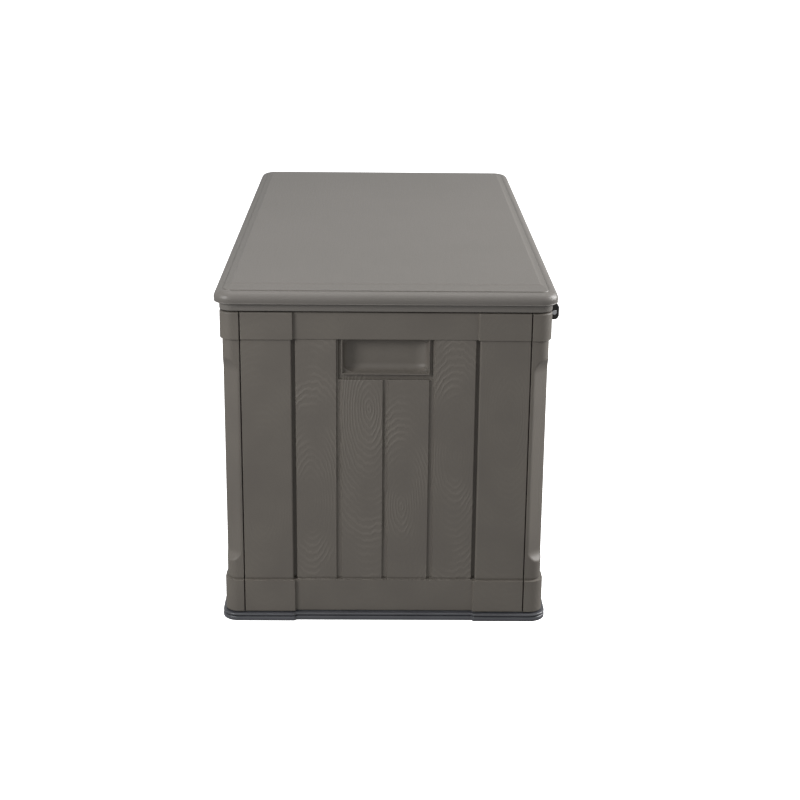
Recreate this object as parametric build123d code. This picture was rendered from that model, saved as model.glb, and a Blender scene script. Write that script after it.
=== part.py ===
from build123d import *
import math
import os

# Deck storage box, in millimetres. The origin is on the ground below the middle of the box.
# +X runs along the box to its right end, -Y is the front and +Y the hinged back.

# ---- driving dimensions ----
LENGTH = 1345.0          # over the lid's lip
DEPTH = 640.0            # over the lid's lip
HEIGHT = 664.0           # ground to the lid's raised panel
LIP_OVERHANG = 10.0      # the lip stands this far out beyond the walls
WALL = 26.0              # twin-wall panel, outer skin to inner skin
CORNER_R = 26.0          # vertical corners of the box at its bands
RELIEF = 5.0             # each step back: band to stile, and stile zone to middle zone

BEYOND = 5.0             # how far a cutter or a keeper block runs past a face

HALF_X = LENGTH / 2 - LIP_OVERHANG       # outer face of the bands at the ends
HALF_Y = DEPTH / 2 - LIP_OVERHANG        # outer face of the bands at front and back
IN_X = HALF_X - WALL                     # inner skins
IN_Y = HALF_Y - WALL

# ---- heights ----
FLANGE_TOP = 15.0
WALL_BOTTOM = 17.0
LOW_BAND_TOP = 82.6
TOP_BAND_BOTTOM = 567.2
WALL_TOP = 620.0
RIM_TOP = 634.0
SKIRT_BOTTOM = 622.4
LID_UNDER = 638.0
LIP_BOTTOM = 637.3
LID_FLAT = 661.0

# ---- how each wall is divided ----
SEAM_Y = 271.0           # joint between an end panel and the corner return
SEAM_GAP = 0.5
STILE_Y = 172.5          # half width of the middle zone on an end
STILE_X = HALF_X - (HALF_Y - STILE_Y)    # half width of the middle zone on a long side
END_PLANKS = 4
SIDE_PLANKS = 12
GROOVE_W, GROOVE_D = 8.5, 3.5            # shallow groove between two planks
END_PITCH = 87.4         # groove to groove on an end
STEP_W, STEP_D = 3.5, 10.0               # sloping flank of a stile beside the planks
STEP_GAP = 3.2
RIM_IN = 18.0            # the rim stands this far in from the bands

# ---- stopped 45 degree cut down each corner ----
CUT_LEG = 27.5           # measured along one wall
CUT_LOW, CUT_HIGH = 139.0, 502.0         # its straight part
CUT_END_LOW, CUT_END_HIGH = 122.0, 531.0 # where its arched ends run out

# ---- hand pocket in each end ----
POCKET_HALF_Y = 81.0
POCKET_LOW, POCKET_HIGH = 500.6, 566.9
POCKET_LIP = 1.8         # thin lip round the pocket, then a groove down its sides and below it
POCKET_GROOVE_Y, POCKET_GROOVE_LOW = 90.0, 488.8
POCKET_DEPTH = 28.0
POCKET_BACK = 6.0
POCKET_MARGIN = 14.0     # plastic round the pocket on the inside

# ---- screws ----
SHANK_R = 2.4
PILOT_R = 2.45           # hole that a screw's shank fills
PASS_R = 2.7             # hole that a screw passes through
LID_SCREW_Z = 631.2      # screws into the lid's skirt
CORNER_BITE = 10.0       # how far a corner screw goes into the corner return
BASE_SEAT = 8.0          # a base screw's head sits this far above the ground
BASE_BITE = 20.0         # pilot hole for it in the wall's bottom
HEAD_WELL_R = 6.5        # well in the base that takes its head
LAP_T = 11.7             # lap flange of an end panel behind the corner return
LAP_IN, LAP_OUT = 24.0, 11.2             # its reach on each side of the seam
LAP_END = 30.0           # it stops this far above the wall's bottom
CORNER_SCREW_HEIGHTS = (90.0, 250.0, 410.0, 570.0)

# ---- base and lid panels ----
FLANGE_OUT = 6.0         # the base's flange stands out beyond the bands
FLOOR_TOP = 34.0
RECESS_D = 5.0           # shallow stiffening recesses under the base and the lid
BASE_RIB, LID_RIB = 26.0, 34.0           # what is left between them
LID_MARGIN = 46.0
LIP_R, LIP_FILLET, LIP_LOW_FILLET = 36.0, 11.0, 2.5
BORDER_X, BORDER_Y = 60.0, 29.0          # flat border round the lid's raised panel
SKIRT_T = 12.0

# ---- hinge ----
PIN_Y, PIN_Z = 320.3, 602.2
PIN_R = 3.0
PIN_HEAD_R, PIN_HEAD_T = 4.4, 1.8
BARREL_R = 7.0
CLIP_R, CLIP_T = 6.0, 0.9
CLIP_GROOVE_D = 0.7
CLIP_IN = 1.4            # the clip's groove lies this far beyond the inner cheek
RUNNING = 0.05           # radial clearance of the pin
EAR_R = 9.0
EAR_LOW, EAR_HIGH = 587.9, 619.6
HINGE_OUT_X = 577.5      # outer face of a hinge
HINGE_W = 48.0
EAR_W = 8.0
SIDE_PLAY = 0.5
LEAF_T = 2.5
WING_T = 3.0             # the part of a hinge arm that is screwed to the lid's skirt
LEAF_SCREW_X, LEAF_SCREW_Z = 15.0, 579.5
ARM_SCREW_X = 22.0

# ---- padlock eyes ----
EYE_Y, EYE_Z = -PIN_Y, 596.0
EYE_R = 5.0
EYE_OUT = PIN_Y + EAR_R  # the eyes reach as far to the front as the hinges to the back
EYE_T = 4.0
EYE_PLAY = 0.6
EYE_LEAF_X = 24.0        # half length of the leaf behind each eye
EYE_SCREW_X = 15.0


def block(x0, x1, y0, y1, z0, z1):
    """A box between two corners, given in any order."""
    size = (abs(x1 - x0), abs(y1 - y0), abs(z1 - z0))
    return Pos((x0 + x1) / 2, (y0 + y1) / 2, (z0 + z1) / 2) * Box(*size)


def slab(half_x, half_y, radius, z0, z1):
    """A plate with rounded vertical corners, centred on the box."""
    outline = RectangleRounded(2 * half_x, 2 * half_y, radius)
    return Pos(0, 0, z0) * extrude(outline, z1 - z0)


def drilled(part, x, y, z, radius, length, axis):
    """Part with one round hole centred on a point, along the axis X, Y or Z."""
    turn = {"X": Rot(0, 90, 0), "Y": Rot(90, 0, 0), "Z": Rot(0, 0, 0)}[axis]
    return part - Pos(x, y, z) * turn * Cylinder(radius, length)


def prism(points, plane, length):
    """A polygon extruded both ways from its plane."""
    return extrude(plane * make_face(Polyline(*points, close=True)), length / 2, both=True)


def screw(x, y, z, toward, length=18.0, head_r=5.0, head_t=2.6):
    """Pan-head screw whose head's seat is at the point; the shank runs toward +X, -X, +Y or -Y."""
    turn = {"+X": Rot(0, 90, 0), "-X": Rot(0, -90, 0), "+Y": Rot(-90, 0, 0), "-Y": Rot(90, 0, 0)}
    shank = Pos(0, 0, length / 2) * Cylinder(SHANK_R, length)
    head = Pos(0, 0, -head_t / 2) * Cylinder(head_r, head_t)
    head = fillet(head.edges().sort_by(Axis.Z)[0], 1.2)
    slot = Pos(0, 0, -head_t) * (Box(5.2, 1.2, 2.4) + Box(1.2, 5.2, 2.4))
    return Pos(x, y, z) * turn[toward] * (shank + head - slot)


def wall_planks(face, half_zone, count, pitch, along_x):
    """What is cut from a wall's outside between its stiles: the recess, its edges and the grooves.

    It is made for the wall whose outer band face is at +face, as cutters to subtract.
    """
    def box_at(s0, s1, d0, d1, z0, z1):
        if along_x:
            return block(s0, s1, face - d0, face - d1, z0, z1)
        return block(face - d0, face - d1, s0, s1, z0, z1)

    out = -LIP_OVERHANG
    cuts = [
        box_at(-half_zone, half_zone, out, RELIEF, WALL_BOTTOM - BEYOND, LOW_BAND_TOP),
        box_at(-half_zone, half_zone, out, RELIEF, TOP_BAND_BOTTOM, WALL_TOP),
        box_at(-half_zone, half_zone, out, 2 * RELIEF, LOW_BAND_TOP, TOP_BAND_BOTTOM),
    ]
    for i in range(1, count):
        s = (i - count / 2) * pitch
        cuts.append(
            box_at(
                s - GROOVE_W / 2, s + GROOVE_W / 2, out, 2 * RELIEF + GROOVE_D,
                LOW_BAND_TOP, TOP_BAND_BOTTOM,
            )
        )
    depth = RELIEF + STEP_D
    for side in (-1, 1):
        edge = [
            (half_zone + STEP_W, RELIEF - 1),
            (half_zone + STEP_W, RELIEF),
            (half_zone, depth),
            (half_zone - STEP_GAP, depth),
            (half_zone - STEP_GAP, RELIEF - 1),
        ]
        if along_x:
            points = [(side * s, face - d) for s, d in edge]
        else:
            points = [(face - d, side * s) for s, d in edge]
        height = TOP_BAND_BOTTOM - LOW_BAND_TOP
        middle = (TOP_BAND_BOTTOM + LOW_BAND_TOP) / 2
        cuts.append(prism(points, Plane.XY.offset(middle), height))
    return cuts


def corner_chamfer(side_x, side_y):
    """The stopped 45 degree cut down one vertical corner, with an arched run-out at each end."""
    depth = CUT_LEG / math.sqrt(2) - (math.sqrt(2) - 1) * (CORNER_R - RELIEF)
    far = 2 * CUT_LEG
    low_r = (depth**2 + (CUT_LOW - CUT_END_LOW) ** 2) / (2 * depth)
    high_r = (depth**2 + (CUT_END_HIGH - CUT_HIGH) ** 2) / (2 * depth)
    outline = (
        Line((0, CUT_LOW), (0, CUT_HIGH))
        + RadiusArc((0, CUT_HIGH), (depth, CUT_END_HIGH), -high_r)
        + Line((depth, CUT_END_HIGH), (far, CUT_END_HIGH))
        + Line((far, CUT_END_HIGH), (far, CUT_END_LOW))
        + Line((far, CUT_END_LOW), (depth, CUT_END_LOW))
        + RadiusArc((depth, CUT_END_LOW), (0, CUT_LOW), -low_r)
    )
    inset = RELIEF + CUT_LEG / 2
    start = Vector(side_x * (HALF_X - inset), side_y * (HALF_Y - inset), 0)
    outward = Vector(side_x, side_y, 0).normalized()
    plane = Plane(origin=start, x_dir=outward, z_dir=outward.cross(Vector(0, 0, 1)))
    return extrude(plane * make_face(outline), 2 * CUT_LEG, both=True)


def walls():
    """All four walls as one ring, before the ring is parted at its seams."""
    ring = slab(HALF_X, HALF_Y, CORNER_R, WALL_BOTTOM, LOW_BAND_TOP)
    ring += slab(HALF_X - RELIEF, HALF_Y - RELIEF, CORNER_R - RELIEF, LOW_BAND_TOP, TOP_BAND_BOTTOM)
    ring += slab(HALF_X, HALF_Y, CORNER_R, TOP_BAND_BOTTOM, WALL_TOP)
    ring += slab(HALF_X - RIM_IN, HALF_Y - RIM_IN, CORNER_R - RIM_IN, WALL_TOP, RIM_TOP)
    hollow = block(-IN_X, IN_X, -IN_Y, IN_Y, 0, HEIGHT)
    ring -= hollow
    bulge_in = HALF_X - 2 * RELIEF - POCKET_DEPTH - POCKET_BACK
    for side in (-1, 1):
        ring += block(
            side * bulge_in, side * (IN_X + 1),
            -POCKET_HALF_Y - POCKET_MARGIN, POCKET_HALF_Y + POCKET_MARGIN,
            POCKET_LOW - POCKET_MARGIN, POCKET_HIGH + POCKET_MARGIN,
        )
    cuts = wall_planks(HALF_X, STILE_Y, END_PLANKS, END_PITCH, False)
    cuts += [mirror(c, Plane.YZ) for c in cuts]
    long_cuts = wall_planks(HALF_Y, STILE_X, SIDE_PLANKS, 2 * STILE_X / SIDE_PLANKS, True)
    cuts += long_cuts + [mirror(c, Plane.XZ) for c in long_cuts]
    cuts += [corner_chamfer(sx, sy) for sx in (-1, 1) for sy in (-1, 1)]
    for cut in cuts:
        ring -= cut
    return ring


def end_panel(ring, side):
    """One end wall with its hand pocket and a lap flange down each side.

    The grooves between the planks end below the pocket, at the groove round its lip.
    """
    edge = SEAM_Y - SEAM_GAP / 2
    bulge_in = 2 * RELIEF + POCKET_DEPTH + POCKET_BACK
    panel = ring & block(
        side * (HALF_X - bulge_in - BEYOND), side * (HALF_X + BEYOND), -edge, edge, 0, HEIGHT
    )
    face = HALF_X - 2 * RELIEF
    floor = face - POCKET_DEPTH
    moat = block(
        side * (face - GROOVE_D), side * (face + BEYOND), -POCKET_GROOVE_Y, POCKET_GROOVE_Y,
        POCKET_GROOVE_LOW, TOP_BAND_BOTTOM,
    )
    lip_y, lip_low = POCKET_HALF_Y + POCKET_LIP, POCKET_LOW - POCKET_LIP
    moat -= block(
        side * (face - BEYOND), side * face, -lip_y, lip_y, lip_low, TOP_BAND_BOTTOM
    )
    panel -= moat
    panel += block(
        side * (face - GROOVE_D), side * face, -lip_y, lip_y, lip_low, TOP_BAND_BOTTOM
    )
    panel -= block(
        side * floor, side * (face + BEYOND), -POCKET_HALF_Y, POCKET_HALF_Y, POCKET_LOW, POCKET_HIGH
    )
    low, high, lap_gap = WALL_BOTTOM + LAP_END, WALL_TOP - LAP_END + 10, 0.3
    for sy in (-1, 1):
        panel += block(
            side * (IN_X - LAP_T), side * IN_X, sy * (SEAM_Y - LAP_IN), sy * edge, low, high
        )
        panel += block(
            side * (IN_X - LAP_T), side * (IN_X - lap_gap), sy * (edge - 1),
            sy * (SEAM_Y + LAP_OUT), low, high,
        )
    for x, y, z in corner_screw_points():
        if x * side > 0:
            panel = drilled(panel, x, y, z, PASS_R, 2 * LAP_T + BEYOND, "X")
    return panel


def long_panel(ring, side):
    """Front or back wall, which turns both corners and ends at the seams."""
    over = HALF_X + BEYOND
    panel = ring & block(-over, over, side * SEAM_Y, side * (HALF_Y + BEYOND), 0, HEIGHT)
    for x, y, z in corner_screw_points():
        if y * side > 0:
            panel = drilled(panel, x, y, z, PILOT_R, 2 * CORNER_BITE + 2, "X")
    return panel


def corner_screw_points():
    """Where a screw goes through an end panel's lap flange into the corner return."""
    y = SEAM_Y + LAP_OUT / 2
    return [(sx * IN_X, sy * y, z) for sx in (-1, 1) for sy in (-1, 1) for z in CORNER_SCREW_HEIGHTS]


def base_panel():
    """Floor panel: the two-bead flange that shows, the seat for the walls and the raised floor."""
    seam, seam_half, seam_d = 9.5, 0.8, 2.0
    out_x, out_y, out_r = HALF_X + FLANGE_OUT, HALF_Y + FLANGE_OUT, CORNER_R + FLANGE_OUT
    low = slab(out_x, out_y, out_r, 0, seam - seam_half)
    high = slab(out_x, out_y, out_r, seam + seam_half, FLANGE_TOP)
    waist = slab(out_x - seam_d, out_y - seam_d, out_r - seam_d, 0, FLANGE_TOP)
    base = low + high + waist
    top = FLANGE_TOP + BEYOND
    for s in (-1, 1):
        base -= block(s * (out_x - RELIEF), s * (out_x + BEYOND), -STILE_Y, STILE_Y, -BEYOND, top)
        base -= block(-STILE_X, STILE_X, s * (out_y - RELIEF), s * (out_y + BEYOND), -BEYOND, top)
    seat_in, seat_r = 2 * RELIEF + 2, CORNER_R - 12
    base += slab(HALF_X - seat_in, HALF_Y - seat_in, seat_r, FLANGE_TOP, WALL_BOTTOM)
    clear = 0.6
    base += slab(IN_X - clear, IN_Y - clear, BEYOND, WALL_BOTTOM, FLOOR_TOP)
    rows, columns = 3, 6
    cell_x = (2 * IN_X - BASE_RIB) / columns
    cell_y = (2 * IN_Y - BASE_RIB) / rows
    for i in range(columns):
        for j in range(rows):
            x = -IN_X + BASE_RIB + i * cell_x
            y = -IN_Y + BASE_RIB + j * cell_y
            base -= block(x, x + cell_x - BASE_RIB, y, y + cell_y - BASE_RIB, -BEYOND, RECESS_D)
    for x, y in base_screw_points():
        base = drilled(base, x, y, WALL_BOTTOM / 2, PASS_R, 2 * WALL_BOTTOM, "Z")
        base = drilled(base, x, y, 0, HEAD_WELL_R, 2 * BASE_SEAT, "Z")
    return base


def base_screw_points():
    """Where a screw comes up through the base into the bottom of a wall."""
    end_in, side_in = HALF_X - RIM_IN, HALF_Y - RIM_IN
    points = [(sx * end_in, y) for sx in (-1, 1) for y in (-200.0, 0.0, 200.0)]
    return points + [(x, sy * side_in) for sy in (-1, 1) for x in (-560.0, -190.0, 190.0, 560.0)]


def base_screws():
    upright = Rot(0, -90, 0) * screw(0, 0, 0, "+X", length=26)
    return Compound(children=[Pos(x, y, BASE_SEAT) * upright for x, y in base_screw_points()])


def corner_screws():
    made = []
    for x, y, z in corner_screw_points():
        toward = "+X" if x > 0 else "-X"
        seat = x - LAP_T if x > 0 else x + LAP_T
        made.append(screw(seat, y, z, toward, length=LAP_T + CORNER_BITE))
    return Compound(children=made)


def ear_outline(out_sign):
    """D-shaped cheek seen from the end: flat on the wall, round at the outer side."""
    y_wall, y_out = HALF_Y, PIN_Y + EAR_R
    points = [(y_wall, EAR_LOW), (y_out, EAR_LOW), (y_out, EAR_HIGH), (y_wall, EAR_HIGH)]
    face = make_face(Polyline(*[(out_sign * y, z) for y, z in points], close=True))
    corners = face.vertices().filter_by(lambda v: abs(abs(v.X) - y_out) < 0.01)
    return fillet(corners, EAR_R)


def hinge_bracket(side):
    """The half of a hinge on the back wall: a leaf and two cheeks that hold the pin."""
    outer, inner = HINGE_OUT_X, HINGE_OUT_X - HINGE_W
    leaf_low, leaf_high = TOP_BAND_BOTTOM + 3, EAR_HIGH - 4
    bracket = block(side * inner, side * outer, HALF_Y, HALF_Y + LEAF_T, leaf_low, leaf_high)
    for x in (inner, outer - EAR_W):
        start = x if side > 0 else -x - EAR_W
        bracket += Pos(start, 0, 0) * extrude(Plane.YZ * ear_outline(1), EAR_W)
    middle = side * (outer + inner) / 2
    bracket = drilled(bracket, middle, PIN_Y, PIN_Z, PIN_R + RUNNING, HINGE_W + BEYOND, "X")
    for x, z in bracket_screw_points(side):
        bracket = drilled(bracket, x, HALF_Y, z, PASS_R, 2 * (LEAF_T + BEYOND), "Y")
    return bracket


def bracket_screw_points(side):
    middle = side * (HINGE_OUT_X - HINGE_W / 2)
    return [(middle - LEAF_SCREW_X, LEAF_SCREW_Z), (middle + LEAF_SCREW_X, LEAF_SCREW_Z)]


def lid_hinge_arm(side):
    """The half of a hinge on the lid: a barrel on the pin and an arm up to the lid's skirt."""
    outer = HINGE_OUT_X - EAR_W - SIDE_PLAY
    inner = HINGE_OUT_X - HINGE_W + EAR_W + SIDE_PLAY
    length = outer - inner
    middle = side * (outer + inner) / 2
    arm = [
        (PIN_Y - 5, PIN_Z + 1), (HALF_Y + 3.8, WALL_TOP - 3), (HALF_Y, SKIRT_BOTTOM + 1),
        (HALF_Y, LIP_BOTTOM), (HALF_Y + 4, LIP_BOTTOM), (HALF_Y + 4.6, SKIRT_BOTTOM + 2),
        (PIN_Y + 2, PIN_Z + 13), (PIN_Y + BARREL_R - 0.6, PIN_Z + 3), (PIN_Y + 1, PIN_Z),
    ]
    made = prism(arm, Plane.YZ.offset(middle), length)
    made += Pos(middle, PIN_Y, PIN_Z) * Rot(0, 90, 0) * Cylinder(BARREL_R, length)
    wing_half = length / 2 + 14
    wing = block(
        middle - wing_half, middle + wing_half, HALF_Y, HALF_Y + WING_T, SKIRT_BOTTOM + 2, LIP_BOTTOM
    )
    made += wing
    made = drilled(made, middle, PIN_Y, PIN_Z, PIN_R + RUNNING, HINGE_W, "X")
    for x, z in arm_screw_points(side):
        made = drilled(made, x, HALF_Y, z, PASS_R, 2 * (WING_T + BEYOND), "Y")
    return made


def arm_screw_points(side):
    middle = side * (HINGE_OUT_X - HINGE_W / 2)
    return [(middle - ARM_SCREW_X, LID_SCREW_Z), (middle + ARM_SCREW_X, LID_SCREW_Z)]


def hinge_pin(side):
    """Steel pin with a low round head outside and a groove for its clip inside."""
    length = HINGE_W + 5.0
    turn = Rot(0, 90, 0)
    pin = Pos(side * (HINGE_OUT_X - length / 2), PIN_Y, PIN_Z) * turn * Cylinder(PIN_R, length)
    head_x = side * (HINGE_OUT_X + PIN_HEAD_T / 2)
    head = Pos(head_x, PIN_Y, PIN_Z) * turn * Cylinder(PIN_HEAD_R, PIN_HEAD_T)
    width = CLIP_T + 0.1
    groove = Cylinder(CLIP_R, width) - Cylinder(PIN_R - CLIP_GROOVE_D, 2 * width)
    return pin + head - Pos(side * clip_x(), PIN_Y, PIN_Z) * turn * groove


def clip_x():
    """How far along the box each pin's clip sits."""
    return HINGE_OUT_X - HINGE_W - CLIP_IN


def hinge_clip(side):
    """E-clip in the pin's groove."""
    bore_r, mouth = PIN_R - CLIP_GROOVE_D + 0.05, 3.6
    clip = Cylinder(CLIP_R, CLIP_T) - Cylinder(bore_r, 2 * CLIP_T)
    clip -= Pos(0, -CLIP_R, 0) * Box(mouth, 2 * CLIP_R - 2, 2 * CLIP_T)
    return Pos(side * clip_x(), PIN_Y, PIN_Z) * Rot(0, 90, 0) * clip


def lock_lug():
    """Padlock eye on the front wall: a leaf with one plate standing out of it."""
    face = -(HALF_Y - RELIEF)
    half, round_r = 16.0, 8.0
    low, high = EYE_Z - half, EYE_Z + half
    leaf = block(-EYE_LEAF_X, EYE_LEAF_X, face, face - LEAF_T, low - 2, high + 2)
    plate = make_face(
        Polyline((face, low), (-EYE_OUT, low), (-EYE_OUT, high), (face, high), close=True)
    )
    plate = fillet(plate.vertices().filter_by(lambda v: abs(v.X + EYE_OUT) < 0.01), round_r)
    lug = leaf + Pos(-EYE_T, 0, 0) * extrude(Plane.YZ * plate, EYE_T)
    lug = drilled(lug, -EYE_T / 2, EYE_Y, EYE_Z, EYE_R, EYE_T + 2, "X")
    for x in (-EYE_SCREW_X, EYE_SCREW_X):
        lug = drilled(lug, x, face, EYE_Z, PASS_R, 2 * (LEAF_T + BEYOND), "Y")
    return lug


def lid_eye():
    """Padlock eye on the lid: it hangs beside the front wall's eye, with the two holes in line."""
    skirt_face = -HALF_Y
    back, low, round_r = skirt_face - 2, EYE_Z - 14, 8.0
    leaf = block(
        -EYE_LEAF_X, EYE_LEAF_X, skirt_face, skirt_face - WING_T, SKIRT_BOTTOM + 1, LIP_BOTTOM
    )
    plate = make_face(
        Polyline(
            (skirt_face, LIP_BOTTOM), (skirt_face, SKIRT_BOTTOM + 1), (back, WALL_TOP), (back, low),
            (-EYE_OUT, low), (-EYE_OUT, EYE_Z + 30), (skirt_face - 8.5, LIP_BOTTOM), close=True,
        )
    )
    plate = fillet(plate.vertices().filter_by(lambda v: v.Y < EYE_Z and v.X < back - 1), round_r)
    eye = leaf + Pos(EYE_PLAY, 0, 0) * extrude(Plane.YZ * plate, EYE_T)
    eye = drilled(eye, EYE_PLAY + EYE_T / 2, EYE_Y, EYE_Z, EYE_R, EYE_T + 2, "X")
    for x in (-EYE_SCREW_X, EYE_SCREW_X):
        eye = drilled(eye, x, skirt_face, LID_SCREW_Z, PASS_R, 2 * (WING_T + BEYOND), "Y")
    return eye


def lid():
    """Hollow-moulded lid: the lip, the flat border, the raised panel and the skirt below."""
    body = slab(LENGTH / 2, DEPTH / 2, LIP_R, LIP_BOTTOM, LID_FLAT)
    body = fillet(body.faces().sort_by(Axis.Z)[-1].edges(), LIP_FILLET)
    body = fillet(body.faces().sort_by(Axis.Z)[0].edges(), LIP_LOW_FILLET)
    raised_x, raised_y = LENGTH / 2 - BORDER_X, DEPTH / 2 - BORDER_Y
    body += block(-raised_x, raised_x, -raised_y, raised_y, LID_FLAT, HEIGHT)
    body += slab(HALF_X, HALF_Y, CORNER_R, SKIRT_BOTTOM, LIP_BOTTOM + 1)
    inner = slab(
        HALF_X - SKIRT_T, HALF_Y - SKIRT_T, CORNER_R - SKIRT_T, SKIRT_BOTTOM - BEYOND, LID_UNDER
    )
    body -= inner
    rows, columns = 3, 8
    cell_x = (2 * (IN_X - LID_MARGIN) + LID_RIB) / columns
    cell_y = (2 * (IN_Y - LID_MARGIN) + LID_RIB) / rows
    low, high = LID_UNDER - BEYOND, LID_UNDER + RECESS_D
    for i in range(columns):
        for j in range(rows):
            x = -IN_X + LID_MARGIN + i * cell_x
            y = -IN_Y + LID_MARGIN + j * cell_y
            body -= block(x, x + cell_x - LID_RIB, y, y + cell_y - LID_RIB, low, high)
    back_points = arm_screw_points(-1) + arm_screw_points(1)
    middle, length = HALF_Y - SKIRT_T / 2, SKIRT_T + 2 * BEYOND
    for x, z in back_points:
        body = drilled(body, x, middle, z, PILOT_R, length, "Y")
    for x in (-EYE_SCREW_X, EYE_SCREW_X):
        body = drilled(body, x, -middle, LID_SCREW_Z, PILOT_R, length, "Y")
    return body


def bumpers():
    """Soft pads on top of the rim, where the closed lid rests."""
    top, half_l, half_w = LID_UNDER - 0.1, 18.0, 3.5
    middle_in = (RIM_IN + WALL) / 2
    front, ends = HALF_Y - middle_in, HALF_X - middle_in
    made = [
        block(x - half_l, x + half_l, -front - half_w, -front + half_w, RIM_TOP, top)
        for x in (-430.0, 430.0)
    ]
    made += [
        block(s * (ends - half_w), s * (ends + half_w), -half_l, half_l, RIM_TOP, top)
        for s in (-1, 1)
    ]
    return Compound(children=made)


def drilled_long_panel(ring, side):
    """A long wall with the pilot holes for what is screwed to it."""
    panel = long_panel(ring, side)
    points = [(x, EYE_Z) for x in (-EYE_SCREW_X, EYE_SCREW_X)]
    if side > 0:
        points = bracket_screw_points(-1) + bracket_screw_points(1)
    for x, z in points:
        panel = drilled(panel, x, side * (HALF_Y - 9), z, PILOT_R, 24, "Y")
    for x, y in base_screw_points():
        if abs(y) > SEAM_Y and y * side > 0:
            panel = drilled(panel, x, y, WALL_BOTTOM, PILOT_R, 2 * BASE_BITE, "Z")
    return panel


def drilled_end_panel(ring, side):
    panel = end_panel(ring, side)
    for x, y in base_screw_points():
        if abs(y) < SEAM_Y and x * side > 0:
            panel = drilled(panel, x, y, WALL_BOTTOM, PILOT_R, 2 * BASE_BITE, "Z")
    return panel


os.makedirs("parts", exist_ok=True)
ring = walls()
sides = {"left": -1, "right": 1}
nodes = {
    "base_panel": base_panel(),
    "front_panel": drilled_long_panel(ring, -1),
    "back_panel": drilled_long_panel(ring, 1),
    "corner_screws": corner_screws(),
    "base_screws": base_screws(),
    "lid_bumpers": bumpers(),
    "padlock_lug": lock_lug(),
    "padlock_lug_screws": Compound(
        children=[
            screw(x, -(HALF_Y - RELIEF + LEAF_T), EYE_Z, "+Y") for x in (-EYE_SCREW_X, EYE_SCREW_X)
        ]
    ),
    "lid": lid(),
    "lid_padlock_eye": lid_eye(),
    "lid_eye_screws": Compound(
        children=[
            screw(x, -HALF_Y - WING_T, LID_SCREW_Z, "+Y", length=13)
            for x in (-EYE_SCREW_X, EYE_SCREW_X)
        ]
    ),
    "hinge_bracket_screws": Compound(
        children=[
            screw(x, HALF_Y + LEAF_T, z, "-Y")
            for s in (-1, 1)
            for x, z in bracket_screw_points(s)
        ]
    ),
    "lid_hinge_screws": Compound(
        children=[
            screw(x, HALF_Y + WING_T, z, "-Y", length=13)
            for s in (-1, 1)
            for x, z in arm_screw_points(s)
        ]
    ),
}
for name, side in sides.items():
    nodes[f"{name}_end_panel"] = drilled_end_panel(ring, side)
    nodes[f"hinge_bracket_{name}"] = hinge_bracket(side)
    nodes[f"lid_hinge_arm_{name}"] = lid_hinge_arm(side)
    nodes[f"hinge_pin_{name}"] = hinge_pin(side)
    nodes[f"hinge_pin_clip_{name}"] = hinge_clip(side)

for name, shape in nodes.items():
    export_step(shape, f"parts/{name}.step")
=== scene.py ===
import math

import bmesh
import bpy
from mathutils import Matrix, Vector


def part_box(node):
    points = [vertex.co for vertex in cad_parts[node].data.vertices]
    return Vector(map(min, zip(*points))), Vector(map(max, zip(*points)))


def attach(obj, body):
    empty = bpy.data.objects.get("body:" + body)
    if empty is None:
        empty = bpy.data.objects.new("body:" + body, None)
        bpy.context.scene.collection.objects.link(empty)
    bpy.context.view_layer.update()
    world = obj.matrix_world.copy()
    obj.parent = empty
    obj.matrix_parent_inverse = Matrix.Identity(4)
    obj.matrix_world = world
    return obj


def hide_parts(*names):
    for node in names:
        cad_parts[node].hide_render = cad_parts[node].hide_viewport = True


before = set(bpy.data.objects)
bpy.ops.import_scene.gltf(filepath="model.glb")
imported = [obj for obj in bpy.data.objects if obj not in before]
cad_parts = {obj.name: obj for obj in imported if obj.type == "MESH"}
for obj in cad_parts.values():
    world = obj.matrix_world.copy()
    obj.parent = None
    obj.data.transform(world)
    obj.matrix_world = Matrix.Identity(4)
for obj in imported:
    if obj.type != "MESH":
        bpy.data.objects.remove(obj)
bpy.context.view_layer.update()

# ---- Camera ----
# A long lens a little above the lid, looking along the box at its right end.
sensor_mm, lens_mm = 36.0, 72.32
pitch, yaw, roll = math.radians(17.554), math.radians(0.815), math.radians(0.558)
eye = Vector((3.5376, -0.0137, 1.3620))
ahead = Vector(
    (-math.cos(pitch) * math.cos(yaw), math.cos(pitch) * math.sin(yaw), -math.sin(pitch))
)
level = ahead.cross(Vector((0, 0, 1))).normalized()
upward = level.cross(ahead)
right = math.cos(roll) * level + math.sin(roll) * upward
over = right.cross(ahead)
camera = bpy.data.objects.new("camera", bpy.data.cameras.new("camera"))
camera.data.sensor_width, camera.data.lens = sensor_mm, lens_mm
camera.data.clip_start, camera.data.clip_end = 0.05, 60.0
camera.matrix_world = Matrix.Translation(eye) @ Matrix((right, over, -ahead)).transposed().to_4x4()
bpy.context.scene.collection.objects.link(camera)
bpy.context.scene.camera = camera

# ---- Wall plastic ----
# High-density polyethylene, coloured right through and blow-moulded against an etched tool.
# It gives a soft satin surface, with wood grain raised a fraction of a millimetre on the planks.
mm = 0.001


def colour(hex_value):
    """An sRGB hex colour as the linear colour that a shader takes."""
    parts = [int(hex_value[i:i + 2], 16) / 255 for i in (1, 3, 5)]
    return [p / 12.92 if p <= 0.04045 else ((p + 0.055) / 1.055) ** 2.4 for p in parts] + [1.0]


def add(tree, kind, sockets=(), **settings):
    """One node with its settings; sockets gives each input a value or another node's output."""
    made = tree.nodes.new(kind)
    for name, value in settings.items():
        setattr(made, name, value)
    for name, value in dict(sockets).items():
        if isinstance(value, bpy.types.NodeSocket):
            tree.links.new(value, made.inputs[name])
        else:
            made.inputs[name].default_value = value
    return made


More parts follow.
